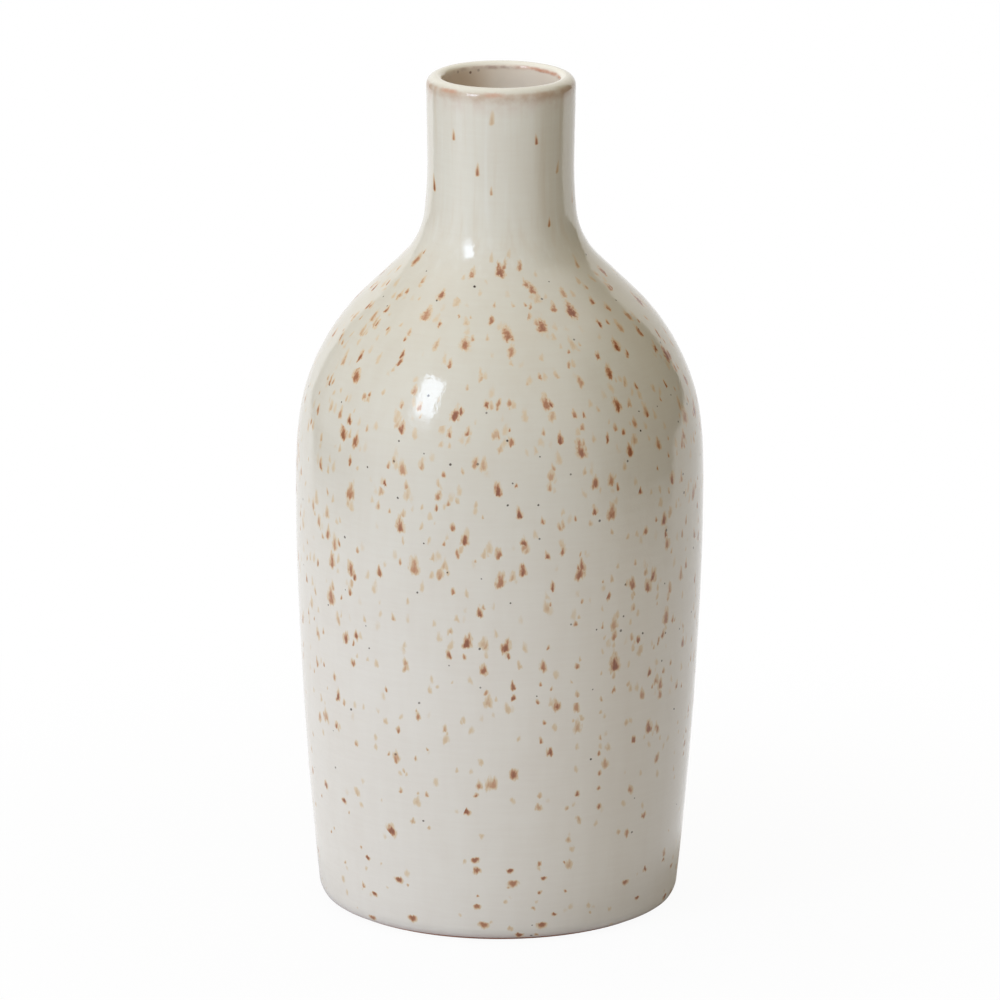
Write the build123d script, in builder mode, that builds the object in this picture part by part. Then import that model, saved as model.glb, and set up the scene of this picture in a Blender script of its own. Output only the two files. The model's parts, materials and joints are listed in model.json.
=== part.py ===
from build123d import *
from math import acos, atan2, cos, degrees, hypot, radians, sin, sqrt
import os

# Bottle vase of glazed red clay, thrown in two sections: a body with a turned foot, and a neck that is
# luted onto the shoulder. Millimetres, +Z up, origin on the table at the centre of the foot.

# Outline of the vase, measured over the glaze
height = 250.0
belly_radius = 60.4
side_draw_in = 7.5  # from the belly to where the side would meet the table without its rounded foot
shoulder_radius = 66.1
slope_length = 15.0  # straight stretch between the shoulder and the collar
collar_radius = 24.2
flare_radius = 142.0
flare_angle = 5.8  # degrees that the gentle upper stretch of the collar turns
neck_radius = 21.6  # at the waist of the neck
neck_length = 26.1  # from the waist up to the lip
neck_lean = 1.05  # degrees that the neck opens towards the lip

# Wall, floor, foot and lip
wall = 4.6  # clay with a coat of glaze on both faces
glaze = 0.5
floor_thickness = 6.5  # clay and glaze above the recess
heel_round = 12.0  # inside corner between the floor and the side
foot_round = 5.5
foot_ring_width = 9.0
recess_depth = 2.5
glaze_stop = 45.0  # degrees down the rounded foot where the outer glaze ends
lip_inner_round = 2.0

# Luted lap joint between the body and the neck, halfway up the slope
lap_length = 5.0
slip = 0.4


def polar(radius, angle):
    return Vector(radius * cos(radians(angle)), radius * sin(radians(angle)))


# Tilt of the slope at which the shoulder and the collar run smoothly into the belly and the neck
flare_bend = radians(flare_angle)
round_reach = shoulder_radius + collar_radius * cos(flare_bend) + flare_radius * (1 - cos(flare_bend))
slope_span = hypot(shoulder_radius + collar_radius, slope_length)
slope_turn = atan2(slope_length, shoulder_radius + collar_radius)
slope_tilt = degrees(acos((round_reach - belly_radius + neck_radius) / slope_span) - slope_turn)

# Centres of the arcs, from the neck down to the foot
flare_centre = Vector(neck_radius + flare_radius, height - neck_length)
collar_centre = flare_centre - polar(flare_radius - collar_radius, flare_angle)
slope_offset = polar(slope_length, slope_tilt + 90)
shoulder_centre = collar_centre - polar(shoulder_radius + collar_radius, slope_tilt) - slope_offset
widest_level = shoulder_centre.Y
side_radius = (widest_level**2 + side_draw_in**2) / (2 * side_draw_in)
side_centre = Vector(belly_radius - side_radius, widest_level)


def corner_centre(radius, inset, level):
    """Centre of a round that joins a level face to the side, as far in as the inset"""
    rise = level + radius - widest_level
    return side_centre + Vector(sqrt((side_radius - inset - radius) ** 2 - rise**2), rise)


def tilt_from_side(point):
    return degrees(atan2(point.Y - side_centre.Y, point.X - side_centre.X))


foot_centre = corner_centre(foot_round, glaze, 0)
foot_tilt = tilt_from_side(foot_centre)
ring_inner_radius = foot_centre.X - foot_ring_width
floor_level = recess_depth + floor_thickness
heel_centre = corner_centre(heel_round, wall, floor_level)
heel_tilt = tilt_from_side(heel_centre)

# The lip is two rounds that meet at its crest, where the two coats of glaze meet as well
crest_radius = neck_radius - wall + lip_inner_round
lean_bend = radians(neck_lean)
waist_end = flare_centre + polar(flare_radius, 180 - neck_lean)
lip_spread = (waist_end.X - crest_radius) * cos(lean_bend) + (height - waist_end.Y) * sin(lean_bend)
lip_outer_round = lip_spread / (1 + sin(lean_bend))
lip_outer_centre = (crest_radius, height - lip_outer_round)
lip_inner_centre = (crest_radius, height - lip_inner_round)


def upper_side(inset, lean):
    """Shoulder, slope, collar and flare, set in from the glazed outside; gives the flare's upper end"""
    shoulder = CenterArc(shoulder_centre, shoulder_radius - inset, 0, slope_tilt)
    collar = CenterArc(collar_centre, collar_radius + inset, 180 + slope_tilt, flare_angle - slope_tilt)
    Line(shoulder @ 1, collar @ 0)
    flare = CenterArc(flare_centre, flare_radius + inset, 180 + flare_angle, -flare_angle - lean)
    return flare @ 1


def outside(depth, foot_start):
    """From the rounded foot to the crest of the lip, at a depth under the glazed outside"""
    CenterArc(foot_centre, foot_round + glaze - depth, foot_start, foot_tilt - foot_start)
    CenterArc(side_centre, side_radius - depth, foot_tilt, -foot_tilt)
    neck_start = upper_side(depth, neck_lean)
    lip = CenterArc(lip_outer_centre, lip_outer_round - depth, -neck_lean, 90 + neck_lean)
    Line(neck_start, lip @ 0)


def inside(depth):
    """From the middle of the floor to the crest of the lip, at a depth under the glazed inside"""
    heel = CenterArc(heel_centre, heel_round + depth, -90, 90 + heel_tilt)
    Line((0, floor_level - depth), heel @ 0)
    CenterArc(side_centre, side_radius - wall + depth, heel_tilt, -heel_tilt)
    bore_start = upper_side(wall - depth, 0)
    lip = CenterArc(lip_inner_centre, lip_inner_round - depth, 180, -90)
    Line(bore_start, lip @ 0)


def clay_outline():
    """Half section of all the clay, from the turned recess under the foot to the lip"""
    outside(glaze, -90)
    inside(glaze)
    Polyline(
        (0, floor_level - glaze),
        (0, recess_depth),
        (ring_inner_radius - recess_depth, recess_depth),
        (ring_inner_radius, 0),
        (foot_centre.X, 0),
    )


slope_middle = collar_centre - polar(collar_radius + wall / 2, slope_tilt) - slope_offset / 2


def lap_point(across, along):
    """Point in the joint, measured across the wall outwards and up along the slope"""
    return slope_middle + polar(across, slope_tilt) + polar(along, slope_tilt + 90)


def lap_face(side):
    """Stepped face of the joint: side 0 is the body's face, 1 the neck's, the slip's thickness apart"""
    low = side * slip - lap_length / 2
    high = side * slip + lap_length / 2
    step = (side - 0.5) * slip
    return [lap_point(-height, high), lap_point(step, high), lap_point(step, low), lap_point(height, low)]


body_face = lap_face(0)
neck_face = lap_face(1)
below_body_face = [lap_point(height, -height), lap_point(-height, -height)]
above_neck_face = [lap_point(height, height), lap_point(-height, height)]

# Body: floor, side and shoulder in one thrown piece, with a turned foot ring and a tongue for the neck
with BuildPart() as clay_body:
    with BuildSketch(Plane.XZ):
        with BuildLine():
            clay_outline()
        make_face()
        Polygon(*body_face, *below_body_face, align=None, mode=Mode.INTERSECT)
    revolve(axis=Axis.Z)

# Neck: collar, straight bore and rounded lip, thrown apart and rebated to sit over the body's tongue
with BuildPart() as clay_neck:
    with BuildSketch(Plane.XZ):
        with BuildLine():
            clay_outline()
        make_face()
        Polygon(*neck_face, *above_neck_face, align=None, mode=Mode.INTERSECT)
    revolve(axis=Axis.Z)

# Slip: the thin layer of liquid clay that fills the lap between the body and the neck
with BuildPart() as luting_slip:
    with BuildSketch(Plane.XZ):
        with BuildLine():
            clay_outline()
        make_face()
        Polygon(*body_face, *reversed(neck_face), align=None, mode=Mode.INTERSECT)
    revolve(axis=Axis.Z)

# Outer glaze: the speckled coat, from the rounded foot up to the crest of the lip
with BuildPart() as outer_glaze:
    with BuildSketch(Plane.XZ):
        with BuildLine():
            outside(0, -glaze_stop)
            outside(glaze, -glaze_stop)
            Line((crest_radius, height - glaze), (crest_radius, height))
            Line(
                foot_centre + polar(foot_round, -glaze_stop),
                foot_centre + polar(foot_round + glaze, -glaze_stop),
            )
        make_face()
    revolve(axis=Axis.Z)

# Liner glaze: the plain coat poured inside, from the crest of the lip down over the floor
with BuildPart() as liner_glaze:
    with BuildSketch(Plane.XZ):
        with BuildLine():
            inside(0)
            inside(glaze)
            Line((crest_radius, height - glaze), (crest_radius, height))
            Line((0, floor_level - glaze), (0, floor_level))
        make_face()
    revolve(axis=Axis.Z)

clay_body.part.label = "clay_body"
clay_neck.part.label = "clay_neck"
luting_slip.part.label = "luting_slip"
outer_glaze.part.label = "outer_glaze"
liner_glaze.part.label = "liner_glaze"

os.makedirs("parts", exist_ok=True)
export_step(clay_body.part, "parts/clay_body.step")
export_step(clay_neck.part, "parts/clay_neck.step")
export_step(luting_slip.part, "parts/luting_slip.step")
export_step(outer_glaze.part, "parts/outer_glaze.step")
export_step(liner_glaze.part, "parts/liner_glaze.step")
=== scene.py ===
import json
import math

import bpy
import numpy as np
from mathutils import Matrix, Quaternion, Vector, noise


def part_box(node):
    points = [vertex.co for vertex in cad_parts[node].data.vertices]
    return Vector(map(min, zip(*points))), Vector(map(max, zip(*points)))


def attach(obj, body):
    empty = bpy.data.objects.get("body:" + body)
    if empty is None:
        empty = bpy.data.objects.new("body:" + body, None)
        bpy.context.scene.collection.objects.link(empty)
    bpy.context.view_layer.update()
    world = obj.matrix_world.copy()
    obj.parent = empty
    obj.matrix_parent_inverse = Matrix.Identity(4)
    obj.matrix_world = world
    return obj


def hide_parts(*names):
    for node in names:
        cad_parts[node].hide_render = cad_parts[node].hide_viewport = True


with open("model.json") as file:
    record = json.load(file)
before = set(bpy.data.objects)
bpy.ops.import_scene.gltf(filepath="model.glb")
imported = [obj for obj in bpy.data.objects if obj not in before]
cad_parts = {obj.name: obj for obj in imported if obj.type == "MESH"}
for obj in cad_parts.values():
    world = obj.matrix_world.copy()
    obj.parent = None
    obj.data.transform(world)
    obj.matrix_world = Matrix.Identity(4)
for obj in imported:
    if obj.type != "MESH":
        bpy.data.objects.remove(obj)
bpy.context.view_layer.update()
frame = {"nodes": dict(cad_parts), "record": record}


# Clay body, neck and slip. Red clay thrown on the wheel as a body and a neck, luted together with slip
# and fired. Glaze hides nearly all of it: only the foot ring and the recess turned under it stay bare.

class Wire:
    """An output socket of a node: sums on it add Math nodes beside it, and add() makes any other node"""

    def __init__(self, socket):
        self.socket = socket

    def add(self, kind, settings, sockets, output=0):
        node = self.socket.id_data.nodes.new(kind)
        for name, value in settings.items():
            setattr(node, name, value)
        for name, value in sockets.items():
            self.feed(node.inputs[name], value)
        return Wire(node.outputs[output])

    def feed(self, socket, value):
        if isinstance(value, Wire):
            self.socket.id_data.links.new(value.socket, socket)
        else:
            socket.default_value = value

    def out(self, name):
        """Another output of the same node"""
        return Wire(self.socket.node.outputs[name])

    def math(self, operation, *values):
        return self.add("ShaderNodeMath", {"operation": operation}, dict(enumerate(values)))

    def vector(self, operation, *values, output="Vector"):
        return self.add("ShaderNodeVectorMath", {"operation": operation}, dict(enumerate(values)), output)

    def scaled(self, x, y, z):
        """The places on this wire, scaled along each axis: a small scale draws clouds out along it"""
        return self.vector("MULTIPLY", self, (x, y, z))

    def axis(self, name):
        """The X, Y or Z of the places on this wire"""
        return self.add("ShaderNodeSeparateXYZ", {}, {"Vector": self}, name)

    def step(self, low, high):
        """0 at low, 1 at high and smooth between them"""
        settings = {"interpolation_type": "SMOOTHSTEP"}
        return self.add("ShaderNodeMapRange", settings, {"Value": self, "From Min": low, "From Max": high})

    def mix(self, first, second):
        """The first colour where this wire is 0, the second where it is 1"""
        return self.add("ShaderNodeMix", {"data_type": "RGBA"}, {0: self, 6: first, 7: second}, 2)

    def cloud(self, size, detail=2.0, output="Fac"):
        """Noise with clouds of about this size, at the places on this wire"""
        sockets = {"Vector": self, "Scale": 1 / size, "Detail": detail}
        return self.add("ShaderNodeTexNoise", {}, sockets, output)

    def __add__(self, other):
        return self.math("ADD", self, other)

    def __sub__(self, other):
        return self.math("SUBTRACT", self, other)

    def __rsub__(self, other):
        return self.math("SUBTRACT", other, self)

    def __mul__(self, other):
        return self.math("MULTIPLY", self, other)

    def __truediv__(self, other):
        return self.math("DIVIDE", self, other)

    def __rtruediv__(self, other):
        return self.math("DIVIDE", other, self)

    __radd__ = __add__
    __rmul__ = __mul__


def shade(red, green, blue):
    """A colour named as a screen shows it, 0 to 255, in the linear values that shaders take"""
    parts = [part / 255 for part in (red, green, blue)]
    return (*(part / 12.92 if part < 0.04045 else ((part + 0.055) / 1.055) ** 2.4 for part in parts), 1.0)


mm_per_metre = 1000  # finishes are laid out in millimetres, and meshes and bump heights are in metres


def new_finish(name):
    """A material, its shader's sockets, and a wire of the places on the piece in millimetres"""
    finish = bpy.data.materials.new(name)
    finish.use_nodes = True
    place = Wire(finish.node_tree.nodes.new("ShaderNodeTexCoord").outputs["Object"])
    sockets = finish.node_tree.nodes["Principled BSDF"].inputs
    return finish, sockets, place.scaled(mm_per_metre, mm_per_metre, mm_per_metre)


terracotta = shade(200, 142, 116)
dark_terracotta = shade(164, 104, 80)
slip_red = shade(188, 128, 102)
grog_size = 0.5
grog_height = 0.0002
scorch_size = 9.0


def fired_clay(name, colour, dark_colour):
    """Matt clay with dark grains of grog in it, and wide patches where the fire was hotter"""
    finish, sockets, place = new_finish(name)
    grog = place.cloud(grog_size, 3).step(0.42, 0.7)
    patches = place.cloud(scorch_size, 3).step(0.3, 0.7)
    place.feed(sockets["Base Color"], (grog * 0.35 + patches * 0.4).mix(colour, dark_colour))
    heights = {"Strength": 0.5, "Distance": grog_height, "Height": grog}
    place.feed(sockets["Normal"], place.add("ShaderNodeBump", {}, heights, "Normal"))
    sockets["Roughness"].default_value = 0.8
    return finish


red_clay = fired_clay("red_clay", terracotta, dark_terracotta)
fired_slip = fired_clay("fired_slip", slip_red, dark_terracotta)
for node, finish in (("clay_body", red_clay), ("clay_neck", red_clay), ("luting_slip", fired_slip)):
    frame["nodes"][node].data.materials.clear()
    frame["nodes"][node].data.materials.append(finish)


# Liner glaze. A plain cream glaze poured into the biscuit-fired vase and out again: it covers the floor,
# the wall and the bore, and runs thin over the inner edge of the lip, where the clay shows pink through it.

height = frame["record"]["size"]["bbox_m"][2]
belly_radius = frame["record"]["size"]["bbox_m"][0] / 2
side_draw_in = 0.0075
shoulder_radius = 0.0661
slope_length = 0.015
collar_radius = 0.0242
flare_radius = 0.142
flare_angle = 5.8
neck_radius = 0.0216
neck_length = 0.0261
neck_lean = 1.05
wall = 0.0046
glaze = 0.0005
floor_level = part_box("liner_glaze")[0][2] + glaze
heel_round = 0.012
lip_inner_round = 0.002


def polar(radius, angle):
    """A point of the half section, as radius + height * 1j"""
    return radius * np.exp(1j * np.radians(angle))


flare_cosine = math.cos(math.radians(flare_angle))
bend_reach = shoulder_radius + collar_radius * flare_cosine + flare_radius * (1 - flare_cosine)
slope_span = math.hypot(shoulder_radius + collar_radius, slope_length)
slope_turn = math.atan2(slope_length, shoulder_radius + collar_radius)
slope_tilt = math.degrees(math.acos((bend_reach - belly_radius + neck_radius) / slope_span) - slope_turn)
flare_centre = neck_radius + flare_radius + (height - neck_length) * 1j
collar_centre = flare_centre - polar(flare_radius - collar_radius, flare_angle)
slope_run = polar(slope_length, slope_tilt + 90)
shoulder_centre = collar_centre - polar(shoulder_radius + collar_radius, slope_tilt) - slope_run
widest_level = shoulder_centre.imag
side_radius = (widest_level**2 + side_draw_in**2) / (2 * side_draw_in)
side_centre = belly_radius - side_radius + widest_level * 1j
crest_radius = neck_radius - wall + lip_inner_round


def corner_centre(radius, inset, level):
    """Centre of the round between a level face and the side"""
    rise = level + radius - widest_level
    return side_centre + math.sqrt((side_radius - inset - radius) ** 2 - rise**2) + rise * 1j


def tilt_from_side(point):
    """Angle at which a point lies from the centre of the side's arc"""
    return math.degrees(np.angle(point - side_centre))


def arc(centre, radius, start, turn, spacing):
    count = max(3, math.ceil(radius * math.radians(abs(turn)) / spacing) + 1)
    return centre + polar(radius, np.linspace(start, start + turn, count))


def straight(first, last, spacing):
    return np.linspace(first, last, max(2, math.ceil(abs(last - first) / spacing) + 1))


def joined(stretches):
    """One line of points from stretches that meet end to end"""
    return np.concatenate([stretches[0]] + [stretch[1:] for stretch in stretches[1:]])


def upper_side(inset, lean, spacing):
    """Shoulder, slope, collar and flare, set in from the glazed outside"""
    shoulder = arc(shoulder_centre, shoulder_radius - inset, 0, slope_tilt, spacing)
    collar = arc(collar_centre, collar_radius + inset, 180 + slope_tilt, flare_angle - slope_tilt, spacing)
    flare = arc(flare_centre, flare_radius + inset, 180 + flare_angle, -flare_angle - lean, spacing)
    return joined([shoulder, straight(shoulder[-1], collar[0], spacing), collar, flare])


def inside(depth, spacing, lip_spacing):
    """From the middle of the floor to the crest of the lip, at a depth under the glazed inside"""
    heel_centre = corner_centre(heel_round, wall, floor_level)
    heel_tilt = tilt_from_side(heel_centre)
    heel = arc(heel_centre, heel_round + depth, -90, 90 + heel_tilt, spacing)
    side = arc(side_centre, side_radius - wall + depth, heel_tilt, -heel_tilt, spacing)
    upper = upper_side(wall - depth, 0, spacing)
    lip_centre = crest_radius + (height - lip_inner_round) * 1j
    lip = arc(lip_centre, lip_inner_round - depth, 180, -90, lip_spacing)
    ground = straight((floor_level - depth) * 1j, heel[0], spacing)
    return joined([ground, heel, side, upper, straight(upper[-1], lip[0], spacing), lip])


# Each wave up the wall has its level, its spread and how far it stands out
wall_waves = ((0.143, 0.010, -0.00032), (0.166, 0.012, -0.0001), (0.104, 0.017, 0.00012))
oval_swell = 0.00004
three_sided_swell = 0.00003
throwing_ring_pitch = 0.0047
throwing_ring_swell = 0.000012
peel_swells = ((0.013, 0.00003), (0.005, 0.000012))
rim_sag = 0.0001
rim_depth = 0.004


def unevenness(points):
    """How far the thrower's hand and the running glaze leave a coat off the true round, in metres"""
    x, y, z = points
    around = np.arctan2(y, x)
    oval = oval_swell * np.cos(2 * around + 0.7 + 9 * z)
    three_sided = three_sided_swell * np.cos(3 * around + 2.1 - 14 * z)
    wander = 0.4 * np.sin(around) + 2 * np.sin(z * 90)
    rings = throwing_ring_swell * np.sin(z * 2 * np.pi / throwing_ring_pitch + wander)
    waves = sum(swell * np.exp(-(((z - level) / spread) ** 2)) for level, spread, swell in wall_waves)
    peel = [sum(swell * noise.noise(Vector(point) / size) for size, swell in peel_swells)
            for point in points.reshape(3, -1).T]
    sag = -rim_sag * np.clip((z - height + rim_depth) / rim_depth, 0, 1)
    return oval + three_sided + rings + waves + np.reshape(peel, z.shape) + sag


coat_segments = 256
sharp_angle = 50
shown_map_height = 0.9
hidden_map_start = 0.92
hidden_map_height = 0.07


def turned(line):
    """Rings of points, as (x, y, z) by point of the line by step round the axis"""
    around = np.arange(coat_segments) * 2 * np.pi / coat_segments
    radius = line.real[:, None]
    level = np.repeat(line.imag[:, None], coat_segments, 1)
    return np.stack([radius * np.cos(around), radius * np.sin(around), level])


def run_length(line):
    """How far along a line each of its points lies"""
    return np.concatenate([[0], np.cumsum(np.abs(np.diff(line)))])


def turned_coat(name, shown, hidden, even_rows=0):
    """A closed coat of glaze turned about the axis, from its shown line and then the hidden one beneath it

    All but the first even rows of the shown side are a little uneven. The map has one row for each ring.
    """
    outward = -1j * np.gradient(shown)
    rings = turned(shown)
    lift = unevenness(rings)
    lift[:even_rows] = 0
    rings = np.concatenate([rings + lift * turned(outward / np.abs(outward)), turned(hidden)], 1)
    on_axis = np.concatenate([shown, hidden]).real < 1e-9
    shown_rows = shown_map_height * run_length(shown) / run_length(shown)[-1]
    hidden_rows = hidden_map_start + hidden_map_height * run_length(hidden) / run_length(hidden)[-1]
    map_rows = np.concatenate([shown_rows, hidden_rows])

    points, numbers = [], []
    for row, centred in enumerate(on_axis):
        numbers.append(len(points) + np.arange(coat_segments) * (not centred))
        points += rings[:, row, :1 if centred else None].T.tolist()
    faces, map_points = [], []
    start = np.arange(coat_segments) / coat_segments
    end = start + 1 / coat_segments
    for row, centred in enumerate(on_axis):
        above = (row + 1) % len(on_axis)
        if centred and on_axis[above]:
            continue
        low_ring, high_ring = numbers[row], numbers[above]
        corners = np.stack([low_ring, np.roll(low_ring, -1), np.roll(high_ring, -1), high_ring], 1)
        low = np.full(coat_segments, map_rows[row])
        high = np.full(coat_segments, map_rows[above] if above else 1.0)
        places = np.stack([start, low, end, low, end, high, start, high], 1).reshape(-1, 4, 2)
        kept = [1, 2, 3] if centred else [0, 1, 2] if on_axis[above] else [0, 1, 2, 3]
        faces += corners[:, kept].tolist()
        map_points.append(places[:, kept].reshape(-1))

    mesh = bpy.data.meshes.new(name)
    mesh.from_pydata(points, [], faces)
    mesh.uv_layers.new(name="OFBake").data.foreach_set("uv", np.concatenate(map_points))
    mesh.polygons.foreach_set("use_smooth", [True] * len(mesh.polygons))
    mesh.set_sharp_from_angle(angle=math.radians(sharp_angle))
    coat = bpy.data.objects.new(name, mesh)
    bpy.context.scene.collection.objects.link(coat)
    return coat


def heading(turn, rise):
    """A direction by its turn from the camera's side of the vase, to the right, and its rise, in degrees"""
    turn, rise = math.radians(turn), math.radians(rise)
    return Vector((math.sin(turn) * math.cos(rise), -math.cos(turn) * math.cos(rise), math.sin(rise)))


def facing(place, turn):
    """How squarely the wall faces a heading: 1 straight at it, and 0 a quarter of the way round from it"""
    outward = place.vector("NORMALIZE", place.scaled(1, 1, 0))
    return place.vector("DOT_PRODUCT", outward, tuple(heading(turn, 0)), output="Value")


liner_cream = shade(228, 220, 210)
liner_thin_cream = shade(223, 208, 195)
broken_edge_brown = shade(158, 126, 114)
bare_edge_pink = shade(200, 134, 104)
left_bore_brown = shade(190, 158, 134)
pinhole_brown = shade(96, 66, 52)
liner_crest_painted_light = shade(231, 229, 222)
crest_level = height * mm_per_metre
bore_radius = mm_per_metre * (neck_radius - wall)
pinhole_size = 0.6
pinhole_core = 0.2
# Each pinhole in the bore has its heading, its depth under the crest and its strength
pinholes = ((-148, 2.7, 0.8), (-132, 1.9, 0.45), (-157, 2.3, 0.4))

liner_finish, sockets, place = new_finish("liner_glaze")
top_depth = crest_level - place.axis("Z")
plain_cream = (place.cloud(14, 3).step(0.3, 0.7) * 0.5).mix(liner_cream, liner_thin_cream)
ragged_depth = top_depth + (place.cloud(2.6, 4) - 0.5) * 1.2
inner_edge = ragged_depth.step(0.7, 1.4) * ragged_depth.step(2.4, 1.6)
broken = place.cloud(3.5, 4).step(0.3, 0.62)
rear = facing(place, 180).step(0.5, 0.85)
colour = (inner_edge * broken * (0.25 + 0.45 * rear)).mix(plain_cream, broken_edge_brown)
bare_side = facing(place, 124).step(0.68, 0.9)
colour = (inner_edge * bare_side * (0.35 + 0.45 * broken)).mix(colour, bare_edge_pink)
# The bore is browner on its left side, a little below the crest
browner_left_bore = facing(place, -118).step(0.55, 0.95) * top_depth.step(1.4, 2.6) * top_depth.step(16, 6)
colour = (browner_left_bore * 0.4).mix(colour, left_bore_brown)
for turn_to, depth, strength in pinholes:
    spot = heading(turn_to, 0) * bore_radius + Vector((0, 0, crest_level - depth))
    from_spot = place.vector("DISTANCE", place, tuple(spot), output="Value")
    colour = (from_spot.step(pinhole_size, pinhole_core) * strength).mix(colour, pinhole_brown)
# Painted light: the crest of the lip is made lighter and cooler, as if more light fell on it from above
colour = top_depth.step(1.3, 0.4).mix(colour, liner_crest_painted_light)
place.feed(sockets["Base Color"], colour)
sockets["Roughness"].default_value = 0.09
sockets["IOR"].default_value = 1.5

liner_spacing = 0.0016
liner_lip_spacing = 0.0003
liner_hidden_spacing = 0.004
liner_hidden_lip_spacing = 0.0006
shown = inside(0, liner_spacing, liner_lip_spacing)[::-1]
hidden = inside(glaze, liner_hidden_spacing, liner_hidden_lip_spacing)
liner = turned_coat("poured_liner_glaze", shown, hidden)
liner.data.materials.append(liner_finish)
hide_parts("liner_glaze")
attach(liner, "root")


# Outer glaze. A glossy cream glaze over the outside, from the rounded foot up to the crest of the lip. Iron
# in the clay bleeds up through it as rust-brown flecks that run down the wall while the glaze is molten.

foot_round = 0.0055
glaze_stop = 45.0
foot_nose = 0.0007
nose_depth = 0.85 * glaze
even_foot_rows = 3
outer_spacing = 0.0013
outer_edge_spacing = 0.0003
outer_hidden_spacing = 0.004
outer_hidden_edge_spacing = 0.0008


def outside(depth, spacing, edge_spacing):
    """From the rounded foot to the crest of the lip, at a depth under the glazed outside"""
    foot_centre = corner_centre(foot_round, glaze, 0)
    foot_tilt = tilt_from_side(foot_centre)
    foot = arc(foot_centre, foot_round + glaze - depth, -glaze_stop, foot_tilt + glaze_stop, edge_spacing)
    side = arc(side_centre, side_radius - depth, foot_tilt, -foot_tilt, spacing)
    upper = upper_side(depth, neck_lean, spacing)
    lean = math.radians(neck_lean)
    waist_end = flare_centre + polar(flare_radius, 180 - neck_lean)
    lip_reach = (waist_end.real - crest_radius) * math.cos(lean) + (height - waist_end.imag) * math.sin(lean)
    lip_round = lip_reach / (1 + math.sin(lean))
    lip_centre = crest_radius + (height - lip_round) * 1j
    lip = arc(lip_centre, lip_round - depth, -neck_lean, 90 + neck_lean, edge_spacing)
    return joined([foot, side, upper, straight(upper[-1], lip[0], spacing), lip])


shown = outside(0, outer_spacing, outer_edge_spacing)
hidden = outside(glaze, outer_hidden_spacing, outer_hidden_edge_spacing)[::-1]
nose = np.clip(1 - run_length(shown) / foot_nose, 0, 1)
inward = 1j * np.gradient(shown)
shown = shown + nose_depth * (1 - np.sqrt(1 - nose**2)) * inward / np.abs(inward)
outer = turned_coat("speckled_outer_glaze", shown, hidden, even_foot_rows)

outer_finish, sockets, place = new_finish("speckled_glaze")
across = place.axis("X")
level = across.out("Z")
radius = across.math("SQRT", across * across + across.out("Y") * across.out("Y"))
turn = across.math("ARCTAN2", across.out("Y"), across) / (2 * math.pi)
normal = place.add("ShaderNodeNewGeometry", {}, {}, "Normal")
steepness = place.vector("LENGTH", normal.scaled(1, 1, 0), output="Value")
widest_radius = mm_per_metre * belly_radius
girth = 2 * math.pi * widest_radius
runs = place.scaled(1, 1, 0.5).cloud(1.5, 3, "Color")
runs = place.add("ShaderNodeSeparateColor", {}, {"Color": runs}, "Red")
fringe = place.scaled(1, 1, 0.35).cloud(0.55, 2) - 0.5


def over_body(level):
    """How much of the flecks shows at a level: fewer near the foot, and none past the shoulder"""
    return (0.24 + 0.76 * level.step(15, 120)) * level.step(204, 184)


def over_neck(level):
    """The few flecks between the collar and the lip"""
    return level.step(192, 200) * level.step(246, 240)


def over_foot(level):
    """The row of flecks that gathers just above the foot, and a few more over it"""
    return level.step(2.5, 3) * (level.step(17, 14) + 0.45 * level.step(60, 30))


pattern_shift = 997
seam_margin = 5
seam_fade = 0.1
crowd_size = 24
widest_lean = 0.45


def flecks(cell, wide, below, above, share, faintest, strongest, soft, ragged, spread, seam):
    """Iron in flecks, at most one to a cell: up to 1 in the middle of a strong one, and 0 outside

    A fleck reaches so far to either side, below and above its middle, in millimetres, and narrows upwards.
    The wall is unrolled for each sort at its own seam, a share of the way round, and no fleck lies across it.
    """
    along = turn.math("FRACT", turn + seam) * girth
    shift = pattern_shift * seam
    chart = place.add("ShaderNodeCombineXYZ", {}, {"X": along, "Y": level + shift})
    settings = {"voronoi_dimensions": "2D"}
    middle = place.add("ShaderNodeTexVoronoi", settings, {"Vector": chart, "Scale": 1 / cell}, "Position")
    chance = place.add("ShaderNodeSeparateColor", {}, {"Color": middle.out("Color")}, "Red")
    size = chance.out("Green")
    home = middle.axis("X")
    home_level = home.out("Y") - shift
    aside = (along - home) * radius / widest_radius + (runs - 0.5) * ragged
    rise = (level - home_level) / steepness + (runs.out("Green") - 0.5) * (2 * ragged)
    lean = (size.math("FRACT", size * 17) - 0.5) * widest_lean
    narrowing = 1 + size.math("FRACT", size * 29) * rise.step(0, above)
    tail = above * (0.4 + 0.6 * home_level.step(10, 100))
    reach = below + (tail - below) * rise.step(-0.3, 0.4)
    aside = (aside - lean * rise) * narrowing / wide
    rise = rise / reach
    extent = aside.math("SQRT", aside * aside + rise * rise)
    body = 1 - extent / (0.5 + 0.5 * size) + fringe * (0.4 * ragged)
    patch = place.add("ShaderNodeCombineXYZ", {}, {"X": home - seam * girth, "Y": home_level})
    crowding = 0.45 + 0.55 * patch.cloud(crowd_size, 1).step(0.35, 0.62)
    far_margin = girth - seam_margin
    clear = home.step(seam_margin, seam_margin + seam_fade) * home.step(far_margin, far_margin - seam_fade)
    present = chance.math("LESS_THAN", chance, share * crowding * spread(home_level) * clear)
    return body.step(0, soft) * (faintest + (strongest - faintest) * chance.out("Blue")) * present


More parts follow.
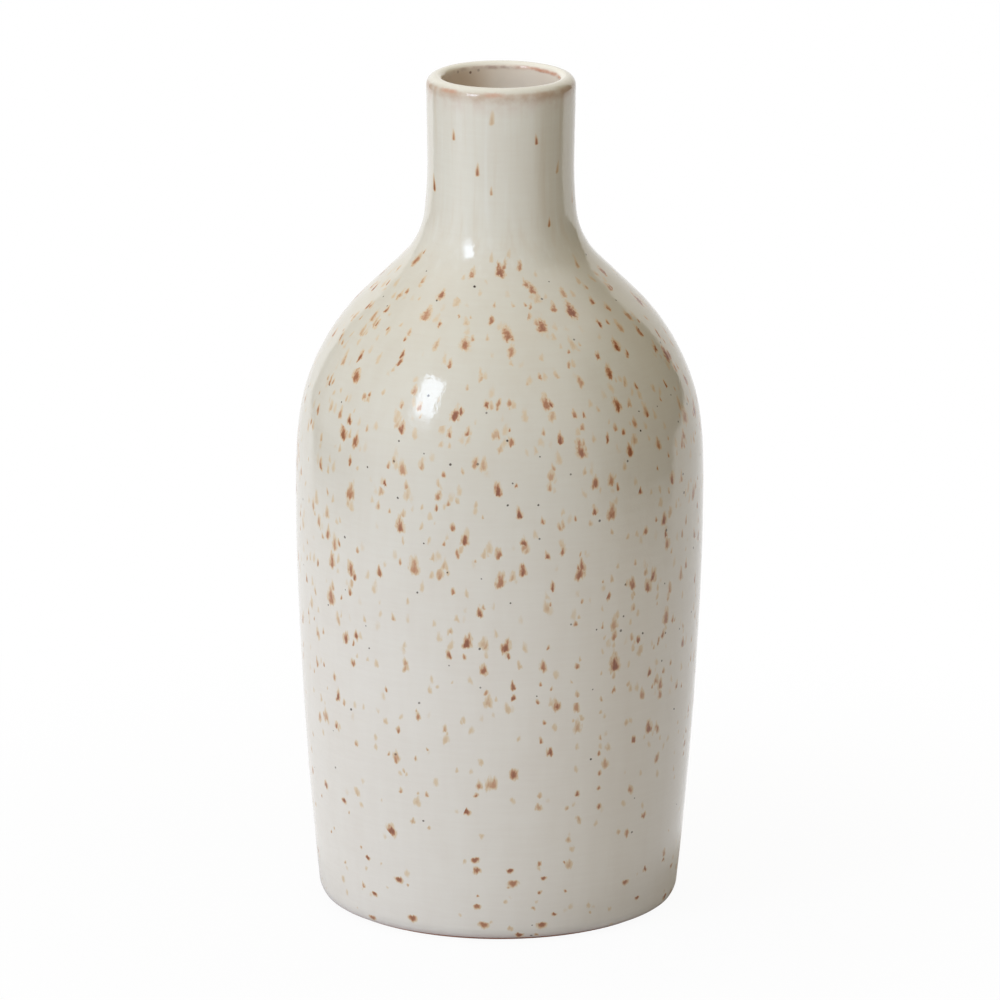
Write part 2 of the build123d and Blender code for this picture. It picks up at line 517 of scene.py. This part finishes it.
# Each sort has its cell, half width, reach below and above, share of the cells, faintest and strongest, soft
# edge, ragged edge, the levels where it is found, and its seam
fleck_sorts = (
    (17.0, 2.85, 2.4, 6.7, 0.95, 0.60, 1.00, 0.9, 1.7, over_body, 0.75),
    (10.5, 1.90, 1.8, 5.0, 0.80, 0.35, 1.00, 0.9, 1.6, over_body, 0.63),
    (10.5, 1.80, 1.7, 4.7, 0.80, 0.30, 0.95, 0.9, 1.6, over_body, 0.66),
    (9.0, 1.25, 1.2, 3.2, 0.75, 0.25, 0.85, 0.9, 1.2, over_body, 0.69),
    (9.5, 1.05, 1.0, 2.6, 0.60, 0.25, 0.80, 0.9, 1.0, over_body, 0.72),
    (9.0, 1.55, 1.7, 3.8, 0.90, 0.12, 0.42, 1.0, 1.5, over_body, 0.78),
    (9.0, 1.45, 1.6, 3.5, 0.90, 0.12, 0.42, 1.0, 1.5, over_body, 0.81),
    (12.0, 1.30, 1.3, 6.0, 0.26, 0.25, 0.95, 0.9, 0.5, over_neck, 0.84),
    (12.5, 2.40, 2.1, 2.9, 0.85, 0.75, 1.00, 0.8, 0.9, over_foot, 0.87),
)
pin_sort = (9.0, 0.58, 0.58, 0.60, 0.34, 0.65, 1.0, 0.5, 0.0, over_body, 0.60)
iron = flecks(*fleck_sorts[0])
for sort in fleck_sorts[1:]:
    iron = iron.math("MAXIMUM", iron, flecks(*sort))
pins = flecks(*pin_sort)

# The shoulder, foot and neck creams hold painted light and shade on top of the glaze's own tone
shoulder_cream_painted_shade = shade(206, 203, 194)
shoulder_buff_painted_shade = shade(202, 196, 185)
foot_cream_painted_bounce = shade(217, 213, 208)
foot_buff_painted_bounce = shade(212, 206, 200)
neck_cream_painted_light = shade(214, 211, 202)
neck_buff_painted_light = shade(210, 204, 194)
dark_drip = shade(205, 195, 180)
pale_drip = shade(219, 218, 213)
foot_pink = shade(180, 154, 152)
lip_blush = shade(200, 180, 169)
lip_brown = shade(184, 161, 142)
lip_crest_painted_light = shade(221, 219, 212)
worn_pink = shade(194, 144, 120)
pale_rust = shade(207, 189, 164)
tan_rust = shade(180, 132, 100)
dark_rust = shade(136, 82, 57)
pin_black = shade(60, 46, 38)
peel_size = 1.5
peel_height = 0.00004
# Each worn place on the lip has its heading, its half width in degrees and its strength
worn_places = ((-45, 7, 0.6), (-5, 6.5, 0.6), (110, 6, 0.6), (146, 11, 0.7), (-152, 9, 0.6), (-104, 5, 0.6))

cloudy = place.cloud(18, 3).step(0.3, 0.7)
streaky = place.scaled(1, 1, 0.14).cloud(4.5, 3).step(0.3, 0.7)
lines = place.scaled(0.07, 0.07, 1).cloud(0.9, 3).step(0.3, 0.7)
# Painted light and shade by level: the cream is darker over the shoulder, lighter and cooler towards the foot
# as if lit and mirrored by the white table, and paler on the neck
painted_light_low_down = level.step(185, 70)
on_neck = level.step(186, 212)
thick_glaze_and_painted_light = on_neck.mix(painted_light_low_down.mix(shoulder_cream_painted_shade, foot_cream_painted_bounce), neck_cream_painted_light)
thin_glaze_and_painted_light = on_neck.mix(painted_light_low_down.mix(shoulder_buff_painted_shade, foot_buff_painted_bounce), neck_buff_painted_light)
colour = (cloudy * 0.3 + streaky * 0.3 + lines * 0.25).mix(thick_glaze_and_painted_light, thin_glaze_and_painted_light)
drips = place.scaled(1, 1, 0.05).cloud(2.4, 2)
colour = (on_neck * drips.step(0.5, 0.75) * 0.5).mix(colour, dark_drip)
colour = (on_neck * drips.step(0.48, 0.25) * 0.5).mix(colour, pale_drip)
colour = (level.step(3.4, 0.6) * 0.65).mix(colour, foot_pink)
lip_depth = crest_level - level
blush = place.cloud(4.0, 3).step(0.35, 0.65)
wash = lip_depth.step(9.5, 3.0) * lip_depth.step(1.0, 2.2) * (0.12 + 0.45 * blush)
colour = wash.mix(colour, lip_blush)
thin_band = lip_depth.step(5.2, 2.4) * lip_depth.step(1.0, 1.9) * (0.45 + 0.4 * blush)
colour = thin_band.mix(colour, lip_brown)
# Painted light: the outer half of the crest is made lighter and cooler, as if more light fell on it from
# above
colour = lip_depth.step(1.2, 0.3).mix(colour, lip_crest_painted_light)
ragged_depth = lip_depth + (place.cloud(2.0, 3) - 0.5) * 1.2
lip_edge = ragged_depth.step(0.8, 1.4) * ragged_depth.step(2.7, 1.8)
smudged = place.cloud(1.6, 3).step(0.25, 0.6)
for turn_to, half_width, strength in worn_places:
    ends = [math.cos(math.radians(half_width * share)) for share in (1.5, 0.6)]
    worn = lip_edge * facing(place, turn_to).step(*ends) * (0.4 + 0.6 * smudged)
    colour = (worn * strength).mix(colour, worn_pink)
colour = iron.step(0.0, 0.3).mix(colour, pale_rust)
colour = iron.step(0.25, 0.75).mix(colour, tan_rust)
colour = iron.step(0.6, 1.0).mix(colour, dark_rust)
colour = pins.mix(colour, pin_black)
place.feed(sockets["Base Color"], colour)
place.feed(sockets["Roughness"], 0.07 + 0.03 * cloudy + 0.12 * iron)
heights = {"Strength": 1.0, "Distance": peel_height, "Height": place.cloud(peel_size, 2)}
place.feed(sockets["Normal"], place.add("ShaderNodeBump", {}, heights, "Normal"))
sockets["IOR"].default_value = 1.55
outer.data.materials.append(outer_finish)
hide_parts("outer_glaze")
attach(outer, "root")


# Table and studio. A white table top in a white room. A softbox and a light panel stand high on the left,
# and weaker light comes from all round, most of it from above. A grey wall on the left shows only in the
# gloss, and a dark curtain on the right shades that side as well.

table_half = 6.0
table_paint = (0.71, 0.725, 0.79, 1)
white = (1, 1, 1, 1)
shadow_middle = (7, 4, 0)
shadow_share = 0.05

mesh = bpy.data.meshes.new("table_top")
corners = [(-1, -1), (1, -1), (1, 1), (-1, 1)]
mesh.from_pydata([(x * table_half, y * table_half, 0) for x, y in corners], [], [(0, 1, 2, 3)])
table_top = bpy.data.objects.new("table_top", mesh)
bpy.context.scene.collection.objects.link(table_top)


def mirrored_rays(wire):
    """1 for rays off gloss and through glass"""
    glossy_ray = wire.add("ShaderNodeLightPath", {}, {}, "Is Glossy Ray")
    return wire.math("MAXIMUM", glossy_ray, glossy_ray.out("Is Transmission Ray"))


def camera_rays(wire):
    """1 for what the camera sees straight"""
    return wire.add("ShaderNodeLightPath", {}, {}, "Is Camera Ray")


# The top looks white, with a faint shadow near the vase. In the gloss it is white beyond the vase's shade,
# and far to the sides it gives way to the room.
white_top, sockets, place = new_finish("white_table_top")
sockets["Base Color"].default_value = table_paint
sockets["Roughness"].default_value = 0.9
sockets["Specular IOR Level"].default_value = 0.0
from_vase = place.vector("DISTANCE", place, shadow_middle, output="Value")
sideways = place.axis("X")
past_side = sideways.math("ABSOLUTE", sideways).step(300, 800)
glow = place.add("ShaderNodeEmission", {}, {"Color": white, "Strength": 1.0})
paint = Wire(white_top.node_tree.nodes["Principled BSDF"].outputs["BSDF"])
seen = camera_rays(place) * ((1 - shadow_share) + shadow_share * from_vase.step(60, 300))
mirrored = mirrored_rays(place)
white_share = place.math("MAXIMUM", seen, mirrored * from_vase.step(58, 92))
mixed = place.add("ShaderNodeMixShader", {}, {0: white_share, 1: paint, 2: glow})
clear = place.add("ShaderNodeBsdfTransparent", {}, {})
mixed = place.add("ShaderNodeMixShader", {}, {0: mirrored * past_side, 1: mixed, 2: clear})
place.feed(white_top.node_tree.nodes["Material Output"].inputs["Surface"], mixed)
table_top.data.materials.append(white_top)

low_light = (0.30, 0.247, 0.09, 1)
high_light = (1.20, 1.10, 0.915, 1)
brightest_sky = heading(-120, 74)
world = bpy.data.worlds.new("studio")
world.use_nodes = True
bpy.context.scene.world = world
background = Wire(world.node_tree.nodes["Background"].outputs[0])
white_rays = background.math("MAXIMUM", camera_rays(background), mirrored_rays(background))
upward = background.add("ShaderNodeTexCoord", {}, {}, "Generated")
upward = upward.vector("DOT_PRODUCT", upward, tuple(brightest_sky), output="Value")
fill_light = upward.math("MAXIMUM", upward, 0.0).mix(low_light, high_light)
background.feed(world.node_tree.nodes["Background"].inputs["Color"], white_rays.mix(fill_light, white))

screen_distance = 2.1
screen_columns = 24
screen_rows = 39
black_cloth = (0.02, 0.02, 0.02, 1)
grey_paint = (0.5, 0.5, 0.5, 1)
# How far round each screen reaches, by rise, in degrees
curtain_ends = {-14: 112, -2: 114, 3: 140, 64: 134}
wall_ends = {-14: -130, -3: -132, 0: -145, 64: -142}


def screen(name, near_turn, far_turns, colour, middle_turn, side_fade, top_fade):
    """Part of a dome round the vase that only lights and reflections see

    It runs from its near turn to its far one, which is given by the rise. It fades out from the first to the
    second of two angles each side of its middle turn, and between two rises near its top.
    """
    points = []
    for rise in np.linspace(min(far_turns), max(far_turns), screen_rows + 1):
        far_turn = np.interp(rise, list(far_turns), list(far_turns.values()))
        turns = np.linspace(near_turn, far_turn, screen_columns + 1)
        points += [tuple(heading(turn, rise) * screen_distance) for turn in turns]
    across = screen_columns + 1
    starts = [row * across + column for row in range(screen_rows) for column in range(screen_columns)]
    faces = [(first, first + 1, first + across + 1, first + across) for first in starts]
    mesh = bpy.data.meshes.new(name)
    mesh.from_pydata(points, [], faces)
    piece = bpy.data.objects.new(name, mesh)
    bpy.context.scene.collection.objects.link(piece)
    piece.visible_camera = False
    finish, sockets, place = new_finish(name)
    whole_side, clear_side = [math.cos(math.radians(angle)) for angle in side_fade]
    whole_top, clear_top = [math.sin(math.radians(rise)) for rise in top_fade]
    sideways = facing(place, middle_turn).step(clear_side, whole_side)
    upright = place.vector("DOT_PRODUCT", place.vector("NORMALIZE", place), (0, 0, 1), output="Value")
    place.feed(sockets["Alpha"], sideways * upright.step(clear_top, whole_top))
    sockets["Base Color"].default_value = colour
    sockets["Roughness"].default_value = 1.0
    sockets["Specular IOR Level"].default_value = 0.0
    mesh.materials.append(finish)
    return piece


screen("dark_curtain", 42, curtain_ends, black_cloth, 112, (32, 70), (38, 62))
grey_wall = screen("grey_wall", -65, wall_ends, grey_paint, -125, (25, 60), (40, 58))
grey_wall.visible_diffuse = False

lamp_colour = (0.692, 0.815, 1.0)
lamp_distance = 2.4
lamp_aim_level = 0.165


def lamp(name, turn, rise, size, glow):
    """A flat lamp of this width and height, facing the vase"""
    light = bpy.data.lights.new(name, "AREA")
    light.shape = "RECTANGLE"
    light.size, light.size_y = size
    light.energy = glow * math.pi * light.size * light.size_y
    light.color = lamp_colour
    piece = bpy.data.objects.new(name, light)
    piece.location = Vector((0, 0, lamp_aim_level)) + heading(turn, rise) * lamp_distance
    piece.rotation_mode = "QUATERNION"
    piece.rotation_quaternion = heading(turn, rise).to_track_quat("Z", "Y")
    piece.visible_camera = False
    bpy.context.scene.collection.objects.link(piece)
    return piece


# The softbox's cloth is brightest over one corner, and the wide panel stays out of the gloss
dimmest_cloth = 0.12
softbox = lamp("softbox", -49.5, 28, (0.62, 1.07), 8.86)
softbox.data.use_nodes = True
cloth = softbox.data.node_tree.nodes["Emission"]
on_cloth = Wire(cloth.outputs[0]).add("ShaderNodeNewGeometry", {}, {}, "Parametric").axis("X")
lit = on_cloth.step(-0.1, 0.35) * on_cloth.out("Y").step(0.05, 0.5)
lit.feed(cloth.inputs["Strength"], dimmest_cloth + (1 - dimmest_cloth) * lit)
panel = lamp("light_panel", -44, 26, (1.8, 1.8), 2.06)
panel.visible_glossy = False


# Camera. A long lens on the side that the vase is looked at from, aimed at its middle from about fifteen
# degrees above the level and turned a hair on its own axis.

view_rise = 15.035
view_roll = 0.21
view_distance = 2.6167
view_level = 0.12097
view_side = 0.00015
camera = bpy.data.cameras.new("camera")
camera.sensor_width = 36
camera.lens = 317.9
camera.clip_end = 100
eye = bpy.data.objects.new("camera", camera)
eye.location = Vector((view_side, 0, view_level)) + heading(0, view_rise) * view_distance
eye.rotation_mode = "QUATERNION"
level_view = heading(0, view_rise).to_track_quat("Z", "Y")
eye.rotation_quaternion = level_view @ Quaternion((0, 0, 1), math.radians(view_roll))
bpy.context.scene.collection.objects.link(eye)
bpy.context.scene.camera = eye
bpy.context.scene.view_settings.view_transform = "Standard"
